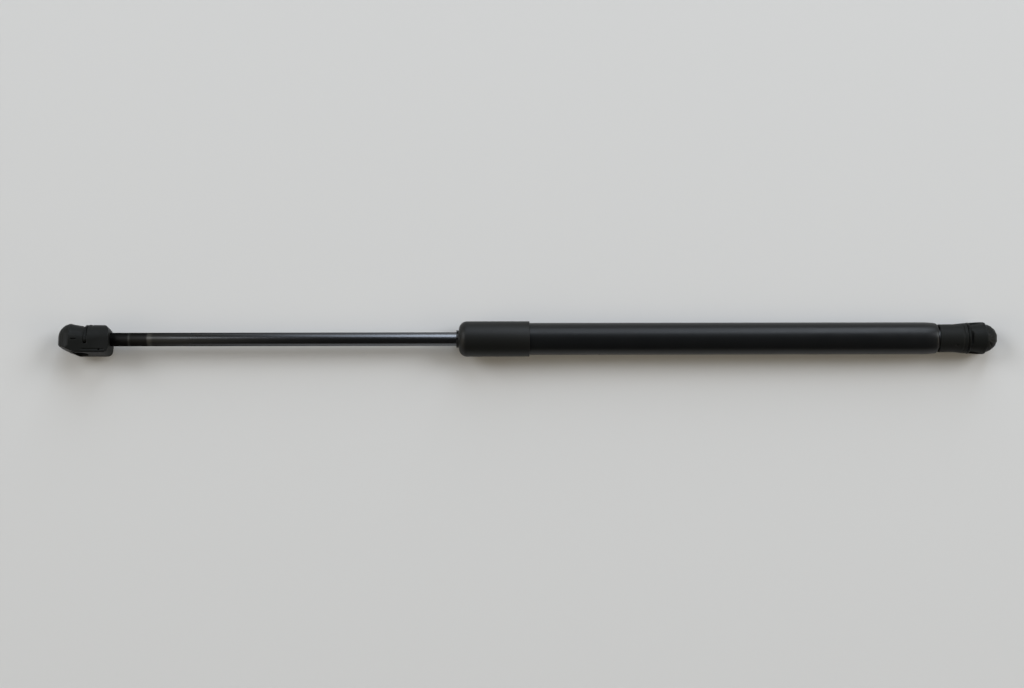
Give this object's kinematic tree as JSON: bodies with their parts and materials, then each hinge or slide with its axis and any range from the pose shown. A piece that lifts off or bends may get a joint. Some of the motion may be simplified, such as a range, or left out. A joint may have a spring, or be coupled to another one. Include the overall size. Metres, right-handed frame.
{
  "type": "tailgate gas strut",
  "caption": "Gas strut with a ground rod sliding in a black tube, a moulded sleeve and moulded ball sockets with wire clips at both ends.",
  "frame": {"origin": "ball centre of the socket on the tube, on the strut's axis", "axes": "+X along the axis, away from the rod; +Z out of the back of the tube's socket, whose mouth opens along -Z; the rod's socket lies at -X"},
  "size_m": [0.5536, 0.0208, 0.0208],
  "materials": {
    "tube_paint": "semi-gloss black stoved paint",
    "sleeve_plastic": "matt moulded black plastic",
    "fitting_nylon": "moulded black glass-filled nylon",
    "rod_steel": "ground and nitrided, dark polished",
    "clip_steel": "dark coated spring wire",
    "plain_steel": "turned steel",
    "guide_brass": "turned brass",
    "rubber": "moulded nitrile rubber",
    "ring_polymer": "turned filled polymer"
  },
  "bodies": {
    "tube": {"pressure_tube": "tube_paint", "protective_sleeve": "sleeve_plastic", "rod_wiper": "rubber", "retaining_washer": "plain_steel", "guide_bush": "guide_brass", "guide_o_ring": "rubber", "rod_seal": "rubber", "seal_washer": "plain_steel", "end_plug": "plain_steel", "plug_inner_o_ring": "rubber", "plug_outer_o_ring": "rubber", "tube_end_fitting": "fitting_nylon"},
    "tube_clip": {"tube_end_clip": "clip_steel"},
    "ring": {"piston_ring": "ring_polymer"},
    "rod": {"piston_rod": "rod_steel", "throttle_disc": "plain_steel", "piston": "plain_steel", "rivet_washer": "plain_steel", "rod_end_fitting": "fitting_nylon"},
    "rod_clip": {"rod_end_clip": "clip_steel"}
  },
  "joints": [
    {"name": "rod_slide", "type": "slide", "parent": "tube", "child": "ring", "axis": [1, 0, 0], "range_m": [0, 0.195], "stiffness_N_per_m": 800, "springref_m": -0.45},
    {"name": "rod_spin", "type": "hinge", "parent": "ring", "child": "rod", "pos_m": [-0.28, 0, 0], "axis": [1, 0, 0], "continuous": true},
    {"name": "tube_end_clip_lift", "type": "slide", "parent": "tube", "child": "tube_clip", "axis": [0, 0, 1], "range_m": [0, 0.003], "stiffness_N_per_m": 1500},
    {"name": "rod_end_clip_lift", "type": "slide", "parent": "rod", "child": "rod_clip", "axis": [0, 0.9763, -0.2164], "range_m": [0, 0.003], "stiffness_N_per_m": 1500}
  ]
}
